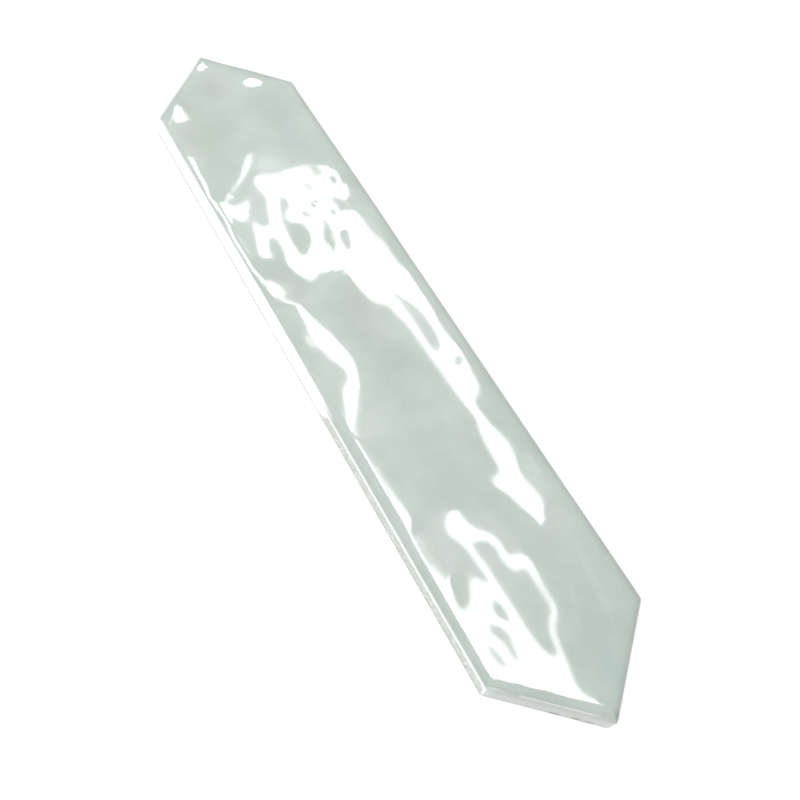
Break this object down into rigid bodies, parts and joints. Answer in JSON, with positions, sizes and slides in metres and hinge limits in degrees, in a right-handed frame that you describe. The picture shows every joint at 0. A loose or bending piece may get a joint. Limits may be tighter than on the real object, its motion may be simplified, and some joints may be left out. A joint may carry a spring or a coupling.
{
  "type": "picket ceramic wall tile",
  "caption": "Long hexagonal picket wall tile with pointed ends, a wavy gloss glazed face, rounded glazed edges and a keyed back.",
  "frame": {"origin": "middle of the tile on the plane that its back rests on", "axes": "+X along the length to one point, +Y across the width, +Z out of the glazed face"},
  "size_m": [0.329, 0.065, 0.0089],
  "materials": {
    "glazed_body": "gloss"
  },
  "bodies": {
    "root": {"picket_tile": "glazed_body"}
  },
  "joints": []
}
